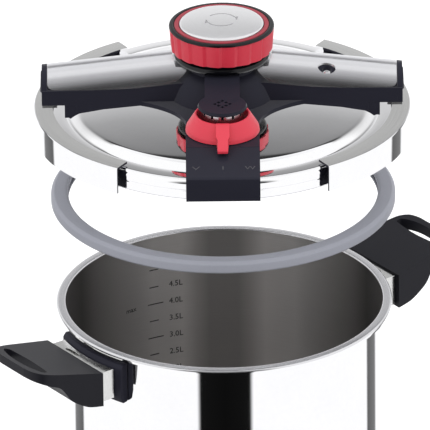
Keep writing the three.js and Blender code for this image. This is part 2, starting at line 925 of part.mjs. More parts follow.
const lid = groupOf(
  piece("lid_shell", lidShell(), mirrorSteel),
  piece("bridge_housing", bridgeHousing(), blackPlastic),
  piece("floor_washer", floorWasher(), zincSteel),
  piece("right_cover", rightCover(), mirrorSteel),
  piece("left_cover", armCover().rotate([0, 0, 180]), mirrorSteel),
  piece("valve_hood", valveHood(), blackPlastic),
  piece("valve_body", valveBody(), zincSteel),
  piece("valve_gasket", washer(6.3, 9.4, valveNutTop - 1.8, valveNutTop, 0, valveY), darkRubber),
  piece("valve_nut", hexagon(11, 6.3, valveNutTop - 6.2, valveNutTop - 2.1, 0, valveY), zincSteel),
  piece("valve_spring", valveSpring(), zincSteel),
  piece("valve_cap", washer(3, 12, 35.2, 37.2, 0, valveY), zincSteel),
  piece("valve_plunger", valvePlunger(), zincSteel),
  piece("indicator_sleeve", indicatorSleeve(), zincSteel),
  piece("indicator_nut", hexagon(6.4, 3.3, nutTop - 3.4, nutTop, sideValveX, sideValveY), zincSteel),
  piece("indicator_pin", indicatorPin(), zincSteel),
  piece("relief_seat", reliefSeat(), zincSteel),
  piece("relief_nut", hexagon(7, 3.8, nutTop - 3.4, nutTop, -sideValveX, sideValveY), zincSteel),
  piece("relief_plug", reliefPlug(), darkRubber),
  piece("centre_stud", centreStud(), zincSteel),
  piece("centre_gasket", washer(studRadius + gap, 9, 18.3, 20.2), darkRubber),
  piece("centre_nut", hexagon(8.2, studRadius + gap, 25.9, 30.2), zincSteel),
  piece("knob_retainer", washer(studRadius + gap, 7.5, 61.8, 63.4), zincSteel),
  piece("selector_ring", selectorRing(), redPlastic),
  knob,
  jawAssembly("right", 0),
  jawAssembly("left", Math.PI),
);
lid.position.z = rimHeight + liftHeight;

const cooker = groupOf(pot, seal, lid);

export default cooker;
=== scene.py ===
import bpy
import math
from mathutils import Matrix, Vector


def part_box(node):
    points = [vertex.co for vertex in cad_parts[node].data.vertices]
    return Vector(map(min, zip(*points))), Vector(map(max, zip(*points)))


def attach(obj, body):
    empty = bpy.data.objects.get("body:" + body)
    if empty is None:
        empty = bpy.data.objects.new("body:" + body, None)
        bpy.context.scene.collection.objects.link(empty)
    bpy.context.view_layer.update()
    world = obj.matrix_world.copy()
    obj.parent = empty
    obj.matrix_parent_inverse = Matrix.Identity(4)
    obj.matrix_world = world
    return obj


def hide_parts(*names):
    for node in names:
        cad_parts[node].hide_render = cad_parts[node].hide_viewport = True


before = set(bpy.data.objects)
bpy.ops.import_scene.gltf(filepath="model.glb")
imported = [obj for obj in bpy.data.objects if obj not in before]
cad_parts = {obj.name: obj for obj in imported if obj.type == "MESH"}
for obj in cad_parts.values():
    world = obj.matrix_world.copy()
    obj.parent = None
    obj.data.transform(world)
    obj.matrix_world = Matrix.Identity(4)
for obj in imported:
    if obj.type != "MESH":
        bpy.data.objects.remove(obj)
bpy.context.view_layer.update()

mm = 0.001
print("pressure cooker: frame loaded with", len(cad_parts), "nodes")

# Heights that everything is measured from, in metres
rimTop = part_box("pot_shell")[1].z
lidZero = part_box("lid_shell")[0].z + 3.1 * mm  # the lid's skirt hangs 3.1 mm under its own zero
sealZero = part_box("sealing_ring")[0].z - 0.3 * mm


def middleOf(node):  # seen from above
    low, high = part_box(node)
    return ((low + high) / 2).xy


valvePlace = middleOf("valve_body")


def selectOnly(piece):
    bpy.ops.object.select_all(action="DESELECT")
    piece.select_set(True)
    bpy.context.view_layer.objects.active = piece


def editMode():
    bpy.ops.object.mode_set(mode="EDIT")
    bpy.ops.mesh.select_mode(type="VERT")


def objectMode():
    bpy.ops.object.mode_set(mode="OBJECT")


def startPoint(name, place):  # one vertex, left in edit mode
    bpy.ops.object.select_all(action="DESELECT")
    bpy.ops.mesh.primitive_plane_add(size=mm, location=(0, 0, 0))
    piece = bpy.context.object
    piece.name = piece.data.name = name
    editMode()
    bpy.ops.mesh.select_all(action="SELECT")
    bpy.ops.mesh.merge(type="CENTER")
    bpy.ops.transform.translate(value=place)
    return piece


def drawOn(points):  # extrudes the last vertex from point to point
    for here, there in zip(points, points[1:]):
        step = [b - a for a, b in zip(here, there)]
        bpy.ops.mesh.extrude_vertices_move(TRANSFORM_OT_translate={"value": step})


def pickCorners(piece, chosen):  # leaves the piece in edit mode with those corners selected
    selectOnly(piece)
    editMode()
    bpy.ops.mesh.select_all(action="DESELECT")
    objectMode()
    for corner in piece.data.vertices:
        corner.select = chosen(corner.co)
    editMode()


def closeUp(threshold=2e-6):
    bpy.ops.mesh.select_all(action="SELECT")
    bpy.ops.mesh.remove_doubles(threshold=threshold)
    bpy.ops.mesh.normals_make_consistent(inside=False)


def turned(name, outline, low=0.0, steps=128, centre=(0, 0), fromAngle=0.0, sweep=360.0):
    # outline is [radius, height] in mm; spin runs clockwise, so a part turn starts at its far end
    start = math.radians(fromAngle + sweep)
    points = [
        (centre[0] + r * mm * math.cos(start), centre[1] + r * mm * math.sin(start), low + z * mm)
        for r, z in outline
    ]
    onAxis = outline[0][0] == 0 and outline[-1][0] == 0
    piece = startPoint(name, points[0])
    drawOn(points if onAxis else points + points[:1])
    bpy.ops.mesh.select_all(action="SELECT")
    bpy.ops.mesh.remove_doubles(threshold=2e-6)
    bpy.ops.mesh.select_all(action="SELECT")
    bpy.ops.mesh.spin(
        steps=steps, angle=math.radians(sweep), center=(centre[0], centre[1], 0), axis=(0, 0, 1)
    )
    bpy.ops.mesh.select_all(action="SELECT")
    bpy.ops.mesh.remove_doubles(threshold=2e-6)
    if sweep < 360:
        bpy.ops.mesh.select_all(action="SELECT")
        bpy.ops.mesh.fill_holes(sides=0)
    closeUp()
    objectMode()
    return piece


def prism(name, outline, low, high, plane="xy"):  # an outline in mm made thick from low to high
    lay = {
        "xy": lambda a, b: (a * mm, b * mm, low * mm),
        "xz": lambda a, b: (a * mm, low * mm, b * mm),
        "yz": lambda a, b: (low * mm, a * mm, b * mm),
    }[plane]
    rise = {"xy": (0, 0, 1), "xz": (0, 1, 0), "yz": (1, 0, 0)}[plane]
    points = [lay(a, b) for a, b in outline]
    piece = startPoint(name, points[0])
    drawOn(points + points[:1])
    bpy.ops.mesh.select_all(action="SELECT")
    bpy.ops.mesh.remove_doubles(threshold=2e-6)
    bpy.ops.mesh.select_all(action="SELECT")
    bpy.ops.mesh.edge_face_add()
    step = [(high - low) * mm * axis for axis in rise]
    bpy.ops.mesh.extrude_region_move(TRANSFORM_OT_translate={"value": step})
    closeUp()
    objectMode()
    return piece


def block(name, low, high):  # corners in mm
    centre = [(a + b) / 2 * mm for a, b in zip(low, high)]
    size = [(b - a) * mm for a, b in zip(low, high)]
    bpy.ops.object.select_all(action="DESELECT")
    bpy.ops.mesh.primitive_cube_add(size=1, location=centre, scale=size)
    piece = bpy.context.object
    piece.name = piece.data.name = name
    bpy.ops.object.transform_apply(location=True, rotation=True, scale=True)
    return piece


def rod(name, radius, low, high, centre=(0, 0), sides=48):
    bpy.ops.object.select_all(action="DESELECT")
    bpy.ops.mesh.primitive_cylinder_add(
        vertices=sides,
        radius=radius * mm,
        depth=(high - low) * mm,
        location=(centre[0], centre[1], (low + high) / 2 * mm),
    )
    piece = bpy.context.object
    piece.name = piece.data.name = name
    bpy.ops.object.transform_apply(location=True, rotation=True, scale=True)
    return piece


def placed(piece, lift=0.0, turn=0.0):  # lift in metres, turn in degrees round Z
    selectOnly(piece)
    piece.location = (0, 0, lift)
    piece.rotation_euler = (0, 0, math.radians(turn))
    bpy.ops.object.transform_apply(location=True, rotation=True, scale=True)
    return piece


def combined(piece, other, operation="DIFFERENCE"):
    selectOnly(piece)
    step = piece.modifiers.new("cut", "BOOLEAN")
    step.operation = operation
    step.solver = "EXACT"
    step.object = other
    bpy.ops.object.modifier_apply(modifier=step.name)
    bpy.data.objects.remove(other)
    return piece


def softEdges(piece, width, segments=2, angle=32):
    selectOnly(piece)
    step = piece.modifiers.new("softEdges", "BEVEL")
    step.width = width * mm
    step.segments = segments
    step.limit_method = "ANGLE"
    step.angle_limit = math.radians(angle)
    bpy.ops.object.modifier_apply(modifier=step.name)
    return piece


def copyOf(node, name):  # the CAD node's own shape, with its corners joined
    piece = bpy.data.objects.new(name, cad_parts[node].data.copy())
    bpy.context.scene.collection.objects.link(piece)
    piece.data.materials.clear()
    selectOnly(piece)
    editMode()
    bpy.ops.mesh.select_all(action="SELECT")
    bpy.ops.mesh.remove_doubles(threshold=1e-5)
    bpy.ops.mesh.dissolve_limited(angle_limit=math.radians(0.6))
    closeUp(1e-5)
    objectMode()
    return piece


def duplicate(piece, name, turn):
    twin = bpy.data.objects.new(name, piece.data.copy())
    bpy.context.scene.collection.objects.link(twin)
    return placed(twin, turn=turn)


def finished(piece, body, material, stands=(), smooth=32):
    selectOnly(piece)
    bpy.ops.object.shade_smooth_by_angle(angle=math.radians(smooth))
    even = piece.modifiers.new("evenFaces", "WEIGHTED_NORMAL")
    even.keep_sharp = True
    bpy.ops.object.modifier_apply(modifier=even.name)
    piece.data.materials.clear()
    piece.data.materials.append(material)
    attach(piece, body)
    if stands:
        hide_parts(*stands)
    return piece


def joined(parts, name):
    bpy.ops.object.select_all(action="DESELECT")
    for part in parts:
        part.select_set(True)
    bpy.context.view_layer.objects.active = parts[0]
    bpy.ops.object.join()
    parts[0].name = parts[0].data.name = name
    return parts[0]


def paintFaces(piece, material, chosen):  # a second material on the faces that chosen() picks
    piece.data.materials.append(material)
    selectOnly(piece)
    editMode()
    bpy.ops.mesh.select_mode(type="FACE")
    bpy.ops.mesh.select_all(action="DESELECT")
    objectMode()
    for face in piece.data.polygons:
        face.select = chosen(face.center, face.normal)
    bpy.ops.object.mode_set(mode="EDIT")
    piece.active_material_index = len(piece.data.materials) - 1
    bpy.ops.object.material_slot_assign()
    objectMode()


def arc(centreR, centreZ, radius, fromAngle, toAngle, count=6):  # degrees, 0 outwards and 90 up
    points = []
    for i in range(count + 1):
        angle = math.radians(fromAngle + (toAngle - fromAngle) * i / count)
        points.append((centreR + radius * math.cos(angle), centreZ + radius * math.sin(angle)))
    return points


# Shared effects

def newGroup(name, inputs, outputs):
    group = bpy.data.node_groups.new(name, "ShaderNodeTree")
    for label, kind, value in inputs:
        socket = group.interface.new_socket(name=label, in_out="INPUT", socket_type=kind)
        if value is not None:
            socket.default_value = value
    for label, kind in outputs:
        group.interface.new_socket(name=label, in_out="OUTPUT", socket_type=kind)
    return group, group.nodes.new("NodeGroupInput"), group.nodes.new("NodeGroupOutput")


def mathNode(tree, operation, first, second=None, third=None):
    node = tree.nodes.new("ShaderNodeMath")
    node.operation = operation
    for socket, value in zip(node.inputs, (first, second, third)):
        if value is None:
            continue
        if isinstance(value, (int, float)):
            socket.default_value = value
        else:
            tree.links.new(value, socket)
    return node.outputs[0]


def noiseNode(tree, vector, scale, detail=3.0, roughness=0.55):
    node = tree.nodes.new("ShaderNodeTexNoise")
    node.inputs["Detail"].default_value = detail
    node.inputs["Roughness"].default_value = roughness
    tree.links.new(vector, node.inputs["Vector"])
    if isinstance(scale, (int, float)):
        node.inputs["Scale"].default_value = scale
    else:
        tree.links.new(scale, node.inputs["Scale"])
    return node.outputs["Fac"]


def ramp(tree, factor, stops):
    node = tree.nodes.new("ShaderNodeValToRGB")
    tree.links.new(factor, node.inputs["Fac"])
    points = node.color_ramp.elements
    points[0].position, points[1].position = stops[0][0], stops[-1][0]
    for place, _ in stops[1:-1]:
        points.new(place)
    for point, (_, value) in zip(points, stops):
        point.color = (value, value, value * 1.01, 1)
    return node.outputs["Color"]


def grainGroup():  # fine moulded grain with broad faint variation
    group, start, end = newGroup(
        "mouldedGrain",
        [
            ("Vector", "NodeSocketVector", None),
            ("Scale", "NodeSocketFloat", 900.0),
            ("Dark", "NodeSocketColor", (0, 0, 0, 1)),
            ("Light", "NodeSocketColor", (1, 1, 1, 1)),
            ("Roughness", "NodeSocketFloat", 0.45),
            ("Spread", "NodeSocketFloat", 0.1),
        ],
        [("Color", "NodeSocketColor"), ("Roughness", "NodeSocketFloat"), ("Height", "NodeSocketFloat")],
    )
    links = group.links
    fine = noiseNode(group, start.outputs["Vector"], start.outputs["Scale"], 2.0)
    broad = noiseNode(group, start.outputs["Vector"], 22.0, 4.0)
    blend = mathNode(group, "MULTIPLY_ADD", fine, 0.35, mathNode(group, "MULTIPLY", broad, 0.65))
    mix = group.nodes.new("ShaderNodeMix")
    mix.data_type = "RGBA"
    links.new(blend, mix.inputs["Factor"])
    links.new(start.outputs["Dark"], mix.inputs["A"])
    links.new(start.outputs["Light"], mix.inputs["B"])
    links.new(mix.outputs["Result"], end.inputs["Color"])
    swing = mathNode(group, "MULTIPLY", mathNode(group, "SUBTRACT", blend, 0.5), start.outputs["Spread"])
    links.new(mathNode(group, "ADD", start.outputs["Roughness"], swing), end.inputs["Roughness"])
    links.new(fine, end.inputs["Height"])
    return group


def brushedGroup():  # fine lines that run round the Z axis
    group, start, end = newGroup(
        "brushedRound",
        [
            ("Vector", "NodeSocketVector", None),
            ("Scale", "NodeSocketFloat", 2600.0),
            ("Along", "NodeSocketFloat", 6.0),
            ("Dark", "NodeSocketColor", (0, 0, 0, 1)),
            ("Light", "NodeSocketColor", (1, 1, 1, 1)),
            ("Roughness", "NodeSocketFloat", 0.3),
            ("Spread", "NodeSocketFloat", 0.15),
        ],
        [("Color", "NodeSocketColor"), ("Roughness", "NodeSocketFloat"), ("Height", "NodeSocketFloat")],
    )
    links = group.links
    parts = group.nodes.new("ShaderNodeSeparateXYZ")
    links.new(start.outputs["Vector"], parts.inputs[0])
    x, y, z = parts.outputs
    squared = mathNode(group, "ADD", mathNode(group, "MULTIPLY", x, x), mathNode(group, "MULTIPLY", y, y))
    radius = mathNode(group, "SQRT", squared)
    angle = mathNode(group, "ARCTAN2", y, x)
    join = group.nodes.new("ShaderNodeCombineXYZ")
    links.new(mathNode(group, "MULTIPLY", radius, start.outputs["Scale"]), join.inputs[0])
    links.new(mathNode(group, "MULTIPLY", z, start.outputs["Scale"]), join.inputs[1])
    links.new(mathNode(group, "MULTIPLY", angle, start.outputs["Along"]), join.inputs[2])
    streak = noiseNode(group, join.outputs[0], 1.0, 2.0)
    broad = noiseNode(group, start.outputs["Vector"], 14.0, 3.0)
    blend = mathNode(group, "MULTIPLY_ADD", streak, 0.7, mathNode(group, "MULTIPLY", broad, 0.3))
    mix = group.nodes.new("ShaderNodeMix")
    mix.data_type = "RGBA"
    links.new(blend, mix.inputs["Factor"])
    links.new(start.outputs["Dark"], mix.inputs["A"])
    links.new(start.outputs["Light"], mix.inputs["B"])
    links.new(mix.outputs["Result"], end.inputs["Color"])
    swing = mathNode(group, "MULTIPLY", mathNode(group, "SUBTRACT", blend, 0.5), start.outputs["Spread"])
    links.new(mathNode(group, "ADD", start.outputs["Roughness"], swing), end.inputs["Roughness"])
    links.new(streak, end.inputs["Height"])
    return group


# A painted sheen, a light and dark pattern multiplied into the colour, that changes with the distance from
# the XZ plane, or without a reach round the Z axis
def shadeGroup(name, stops, reach=None):
    group, start, end = newGroup(
        name,
        [("Vector", "NodeSocketVector", None), ("Color", "NodeSocketColor", (1, 1, 1, 1))],
        [("Color", "NodeSocketColor")],
    )
    parts = group.nodes.new("ShaderNodeSeparateXYZ")
    group.links.new(start.outputs["Vector"], parts.inputs[0])
    x, y, z = parts.outputs
    if reach:
        place = mathNode(group, "MULTIPLY", mathNode(group, "ABSOLUTE", y), 1 / reach)
    else:
        turn = mathNode(group, "ABSOLUTE", mathNode(group, "ARCTAN2", x, y))
        place = mathNode(group, "DIVIDE", turn, math.pi)
    shade = ramp(group, place, stops)
    mix = group.nodes.new("ShaderNodeMix")
    mix.data_type = "RGBA"
    mix.blend_type = "MULTIPLY"
    mix.inputs["Factor"].default_value = 1
    group.links.new(start.outputs["Color"], mix.inputs["A"])
    group.links.new(shade, mix.inputs["B"])
    group.links.new(mix.outputs["Result"], end.inputs["Color"])
    return group


# Places run from the pot's back (0) to its front (1) for the painted reflection bands inside the pot, or
# from a cover's ridge (0) down its side (1) for the covers' painted sheen
# painted reflection: vertical light and dark bands round the pot's inside, standing in for the brushed
# steel's reflections
potPaintedReflections = [(0, 0.42), (0.03, 0.42), (0.055, 0.62), (0.085, 0.95), (0.15, 1), (0.19, 0.78), (0.26, 0.46),
            (0.36, 0.12), (0.5, 0.16), (0.75, 0.75), (0.9, 1), (1, 0.6)]
# painted sheen: a cover's colour is multiplied by a band that changes from its ridge down its sides
coverPaintedSheen = [(0, 1), (0.1, 0.96), (0.25, 0.84), (0.5, 0.8), (0.7, 1), (1, 0.7)]
effects = {
    "grain": grainGroup(),
    "brushed": brushedGroup(),
    "potPaintedReflections": shadeGroup("potPaintedReflections", potPaintedReflections),
    "coverPaintedSheen": shadeGroup("coverPaintedSheen", coverPaintedSheen, 20 * mm),
}


def grainNode(tree, effect, values):
    coords = tree.nodes.new("ShaderNodeTexCoord")
    node = tree.nodes.new("ShaderNodeGroup")
    node.node_tree = effects[effect]
    tree.links.new(coords.outputs["Object"], node.inputs["Vector"])
    for label, value in values.items():
        node.inputs[label].default_value = value
    return node


def makeMaterial(
    name, effect, scale, dark, light, roughness, spread,
    along=None, metallic=0.0, bump=0.0, specular=0.5, shade=None,
):
    material = bpy.data.materials.new(name)
    material.use_nodes = True
    tree = material.node_tree
    shader = tree.nodes["Principled BSDF"]
    shader.inputs["Metallic"].default_value = metallic
    shader.inputs["Specular IOR Level"].default_value = specular
    values = {"Scale": scale, "Roughness": roughness, "Spread": spread}
    values["Dark"], values["Light"] = (*dark, 1), (*light, 1)
    if along:
        values["Along"] = along
    source = grainNode(tree, effect, values)
    colour = source.outputs["Color"]
    # painted sheen: the sheen group multiplies a fixed light and dark pattern into the base colour
    if shade:
        paintedSheenLayer = grainNode(tree, shade, {})
        tree.links.new(colour, paintedSheenLayer.inputs["Color"])
        colour = paintedSheenLayer.outputs["Color"]
    tree.links.new(colour, shader.inputs["Base Color"])
    tree.links.new(source.outputs["Roughness"], shader.inputs["Roughness"])
    if bump:
        bumpNode = tree.nodes.new("ShaderNodeBump")
        bumpNode.inputs["Strength"].default_value = 1.0
        bumpNode.inputs["Distance"].default_value = bump * mm
        tree.links.new(source.outputs["Height"], bumpNode.inputs["Height"])
        tree.links.new(bumpNode.outputs["Normal"], shader.inputs["Normal"])
    return material


def look(effect, scale, dark, light, roughness, spread, **rest):
    first = {"effect": effect, "scale": scale, "dark": dark, "light": light}
    return {**first, "roughness": roughness, "spread": spread, **rest}


# effect, scale, dark, light, roughness and how much the roughness spreads
looks = {
    "polishedSteel": look(
        "grain", 300.0, (0.84, 0.84, 0.85), (0.93, 0.93, 0.94), 0.045, 0.05, metallic=1.0
    ),
    # painted sheen: the covers' colour is multiplied by a band that changes from the ridge down the sides
    "satinCover": look(
        "grain", 500.0, (0.8, 0.8, 0.82), (0.9, 0.9, 0.92), 0.24, 0.06, metallic=1.0, shade="coverPaintedSheen"
    ),
    "satinSteel": look(
        "brushed", 2400.0, (0.62, 0.62, 0.64), (0.8, 0.8, 0.82), 0.24, 0.12,
        along=5.0, metallic=1.0, bump=0.004,
    ),
    # painted reflection: the pot's inside gets vertical light and dark bands multiplied into its colour
    "potInside": look(
        "brushed", 1800.0, (0.76, 0.735, 0.71), (0.9, 0.875, 0.85), 0.36, 0.12,
        along=3.0, metallic=0.68, bump=0.003, shade="potPaintedReflections",
    ),
    "capSteel": look(
        "brushed", 1500.0, (0.72, 0.72, 0.73), (0.84, 0.84, 0.85), 0.3, 0.1,
        along=4.0, metallic=0.65, bump=0.002,
    ),
    "jawTop": look(
        "brushed", 1100.0, (0.58, 0.58, 0.57), (0.78, 0.78, 0.77), 0.2, 0.1,
        along=2.0, metallic=1.0, bump=0.002,
    ),
    "aluminium": look(
        "brushed", 1200.0, (0.55, 0.55, 0.56), (0.72, 0.72, 0.73), 0.4, 0.15,
        along=8.0, metallic=1.0, bump=0.004,
    ),
    "platedSteel": look(
        "grain", 700.0, (0.46, 0.46, 0.48), (0.66, 0.66, 0.67), 0.25, 0.15, metallic=1.0, bump=0.004
    ),
    "blackPlastic": look(
        "grain", 1400.0, (0.019, 0.019, 0.029), (0.029, 0.029, 0.042), 0.34, 0.12, bump=0.006, specular=0.08
    ),
    "glossBlack": look(
        "grain", 900.0, (0.003, 0.003, 0.004), (0.006, 0.006, 0.008), 0.2, 0.08, bump=0.002, specular=0.3
    ),
    "gripPlastic": look(
        "grain", 1100.0, (0.009, 0.009, 0.013), (0.018, 0.018, 0.024), 0.42, 0.14, bump=0.012, specular=0.15
    ),
    "redPlastic": look("grain", 1200.0, (0.68, 0.03, 0.06), (0.84, 0.045, 0.08), 0.4, 0.12, bump=0.006),
    "deepRed": look("grain", 1200.0, (0.3, 0.012, 0.03), (0.4, 0.018, 0.04), 0.34, 0.1, bump=0.004),
    "silicone": look("grain", 650.0, (0.33, 0.34, 0.39), (0.42, 0.43, 0.49), 0.48, 0.16, bump=0.014),
    "darkRubber": look("grain", 800.0, (0.01, 0.01, 0.011), (0.024, 0.024, 0.026), 0.6, 0.16, bump=0.012),
    "etchedMark": look("grain", 900.0, (0.02, 0.019, 0.019), (0.045, 0.043, 0.042), 0.6, 0.1),
    "faintMark": look("grain", 900.0, (0.045, 0.045, 0.055), (0.07, 0.07, 0.08), 0.5, 0.1),
    "floor": look("grain", 40.0, (0.93, 0.93, 0.93), (0.95, 0.95, 0.95), 0.8, 0.1),
}
finishes = {name: makeMaterial(name, **values) for name, values in looks.items()}
print("materials made:", len(finishes))

# Pot

pot = {
    "wall": 110.0,  # inner radius
    "sheet": 1.0,
    "floorLow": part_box("pot_shell")[0].z / mm,
    "corner": 8.0,
    "rim": 116.5,
}


def makePot():
    top = rimTop / mm
    low = pot["floorLow"]
    wall, corner, outer = pot["wall"], pot["corner"], pot["wall"] + pot["sheet"]
    outline = [(0, low), (60, low)]
    outline += arc(wall - corner, low + corner + 1, corner + 1, -90, 0)
    outline += [(outer, top - 60), (outer, top - 2.6)]
    outline += arc(outer + 1.4, top - 2.5, 1.4, 180, 90, 4)
    outline += [(pot["rim"] - 1.8, top - 1.1), (pot["rim"] - 1.1, top - 1.8), (pot["rim"] - 1.1, top - 3.1)]
    outline += [(pot["rim"] - 0.1, top - 3.1)]
    outline += arc(pot["rim"] - 1.9, top - 2.0, 1.9, 0, 90, 6)
    outline += [(wall + 2.5, top - 0.05)]
    outline += arc(wall + 1.2, top - 1.3, 1.2, 92, 180, 5)
    outline += [(wall, top - 60)]
    outline += arc(wall - corner, low + corner + 1, corner, 0, -90)
    outline += [(60, low + 1), (0, low + 1)]
    shell = turned("potShell", outline, steps=160)
    finished(shell, "pot", finishes["polishedSteel"], ["pot_shell"], smooth=40)
    inside = (pot["wall"] + 0.4) * mm
    paintFaces(
        shell,
        finishes["potInside"],
        lambda c, n: c.xy.length < inside and c.z < rimTop - 1.2 * mm and (n.z > 0.3 or n.xy.dot(c.xy) < 0),
    )
    paintFaces(shell, finishes["satinSteel"], lambda c, n: c.z > rimTop - 1.3 * mm and n.z > 0.2)


def makeBase():
    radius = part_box("base_cap")[1].x / mm
    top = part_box("base_cap")[1].z / mm
    outline = [(0, 0), (40, 0), (radius - 3, 0)] + arc(radius - 3, 3, 3, -90, 0, 6)
    outline += [(radius, top), (radius - 1, top), (radius - 1, 3.2), (radius - 3.2, 1), (0, 1)]
    cap = turned("baseCap", outline, steps=160)
    finished(cap, "pot", finishes["satinSteel"], ["base_cap"])


makePot()
makeBase()
print("pot made")

# Litre scale inside the pot
scale = {
    "perLitre": 26.3,
    "from": 2.0,
    "to": 4.5,
    "short": 7.0,
    "long": 12.0,
    "numberAngle": 108.0,
    "tickAngle": 117.5,
    "maxAngle": 126.5,
    "numberSize": 6.0,
    "wordSize": 5.2,
    "thick": 0.7,
}


def wallText(name, words, angle, height, size):
    bpy.ops.object.select_all(action="DESELECT")
    bpy.ops.object.text_add(location=(0, 0, 0))
    label = bpy.context.object
    label.data.body = words
    label.data.size = size * mm
    label.data.extrude = 0.14 * mm
    label.data.align_x = "CENTER"
    label.data.align_y = "CENTER"
    label.data.resolution_u = 2
    bpy.ops.object.convert(target="MESH")
    label = bpy.context.object
    label.name = label.data.name = name
    label.rotation_euler = (math.radians(90), 0, math.radians(angle - 90))
    reach = (pot["wall"] - 0.1) * mm
    around = math.radians(angle)
    label.location = (reach * math.cos(around), reach * math.sin(around), height)
    bpy.ops.object.transform_apply(location=True, rotation=True, scale=True)
    return label


def wallTick(name, angle, height, length):
    half = math.degrees(length / 2 / pot["wall"])
    reach = pot["wall"]
    thick = scale["thick"]
    outline = [(reach - 0.16, 0), (reach + 0.2, 0), (reach + 0.2, thick), (reach - 0.16, thick)]
    return turned(name, outline, low=height, steps=8, fromAngle=angle - half, sweep=2 * half)


def makeScale():
    floorTop = (pot["floorLow"] + 1) * mm
    marks = []
    litres = scale["from"]
    while litres <= scale["to"] + 0.01:
        height = floorTop + litres * scale["perLitre"] * mm
        marks.append(wallText("litre", f"{litres:.1f}L", scale["numberAngle"], height, scale["numberSize"]))
        length = scale["long"] if litres == int(litres) else scale["short"]
        low = height - scale["thick"] / 2 * mm
        marks.append(wallTick("tick", scale["tickAngle"] - length * 0.12, low, length))
        litres += 0.5
    highest = floorTop + 4.0 * scale["perLitre"] * mm
    marks.append(wallText("most", "max", scale["maxAngle"], highest, scale["wordSize"]))
    topTick = floorTop + 5.0 * scale["perLitre"] * mm
    marks.append(wallTick("tick", scale["tickAngle"] - 0.9, topTick, scale["short"]))
    finished(joined(marks, "litreScale"), "pot", finishes["etchedMark"])


makeScale()
print("litre scale made")

# Handles, modelled along +X at the rim's height and turned into place
handles = {
    "turn": 36.0,  # degrees from the bridge's line
    "tilt": 13.0,
    "root": 127.3,
    "end": 180.3,
    "half": 32.8,
    "slotFrom": 167.0,
    "slotTo": 176.0,
    "slotHalf": 21.0,
    "guardReach": 119.1,
    "guardHalf": 29.0,
}


def gripTop(x):
    return -10.5 + (x - 118) * math.tan(math.radians(handles["tilt"]))


def between(before, here, there, after, t):  # one coordinate of a Catmull-Rom curve
    slope = (there - before) * t
    bend = (2 * before - 5 * here + 4 * there - after) * t * t
    twist = (3 * here - before - 3 * there + after) * t**3
    return 0.5 * (2 * here + slope + bend + twist)


def smoothPath(points, count=5):  # a rounded line through the points
    path = []
    for i in range(len(points) - 1):
        before = points[max(0, i - 1)]
        here, there = points[i], points[i + 1]
        after = points[min(len(points) - 1, i + 2)]
        for k in range(count):
            path.append(tuple(between(*four, k / count) for four in zip(before, here, there, after)))
    return path + [points[-1]]


def makeGrip():
    root, end, half = handles["root"], handles["end"], handles["half"]
    upper = smoothPath(
        [(end - 17, half - 3), (end - 8, half - 5.2), (end - 2, half - 11), (end, half - 20)]
    )
    plan = [(root, half)] + upper + [(x, -y) for x, y in reversed(upper)] + [(root, -half)]
    under = smoothPath(
        [(end, gripTop(end) - 6.5), (170, gripTop(170) - 8.6), (161.5, gripTop(161.5) - 10.4), (156.5, -17),
         (152.8, -22.4), (146, -27.4), (138, -31.4), (root, -33.4)]
    )
    side = [(root, gripTop(root)), (end, gripTop(end))] + under
    grip = prism("rightGrip", plan, -40, 20)
    combined(grip, prism("side", side, -half - 2, half + 2, "xz"), "INTERSECT")
    inner, outer, slotHalf = handles["slotFrom"], handles["slotTo"], handles["slotHalf"]
    ring = smoothPath(
        [(inner, -slotHalf), (inner - 1.3, 0), (inner, slotHalf), (inner + 2, slotHalf + 2.4),
         (inner + 5, slotHalf + 1), (outer - 1, slotHalf - 9), (outer, 0), (outer - 1, -slotHalf + 9),
         (inner + 5, -slotHalf - 1), (inner + 2, -slotHalf - 2.4), (inner, -slotHalf)]
    )
    combined(grip, prism("slot", ring[:-1], -45, 25))
    softEdges(grip, 1.3, 3)
    return placed(grip, rimTop, handles["turn"])


def makeCollar():
    outline = [(111.3, -36), (116.2, -36), (118.4, -30), (118.4, -10), (116.4, -6.9), (111.3, -6.7)]
    start = handles["turn"] - 17
    collar = turned("rightCollar", outline, low=rimTop, steps=20, fromAngle=start, sweep=34)
    return softEdges(collar, 0.9, 3)


def makeGuard():
    reach, half = handles["guardReach"], handles["guardHalf"]
    around = math.degrees(math.asin(half / reach))
    inner = arc(0, 0, reach, -around, around, 24)
    plan = inner + [(handles["root"] - 0.3, half), (handles["root"] - 0.3, -half)]
    top = gripTop(121)
    guard = prism("rightGuard", plan, -32, top)
    slot = smoothPath(
        [(121.4, -16), (120.9, -10), (121.4, -4), (122.6, -2.6), (123.8, -4),
         (123.6, -10), (123.8, -16), (122.6, -17.4), (121.4, -16)],
        4,
    )
    combined(guard, prism("slot", slot[:-1], top - 4, top + 4))
    softEdges(guard, 0.7, 3)
    return placed(guard, rimTop, handles["turn"])


def handlePieces(builder, finish, node):
    piece = builder()
    twin = duplicate(piece, piece.name.replace("right", "left"), 180)
    finished(piece, "pot", finishes[finish], ["right_" + node])
    finished(twin, "pot", finishes[finish], ["left_" + node])


handlePieces(makeGrip, "gripPlastic", "grip")
handlePieces(makeCollar, "blackPlastic", "collar")
handlePieces(makeGuard, "jawTop", "flame_guard")
print("handles made")

# Sealing ring

seal = {"inside": 107.0, "outside": 119.0, "foot": 0.3, "top": 9.3, "lipDepth": 6.0}


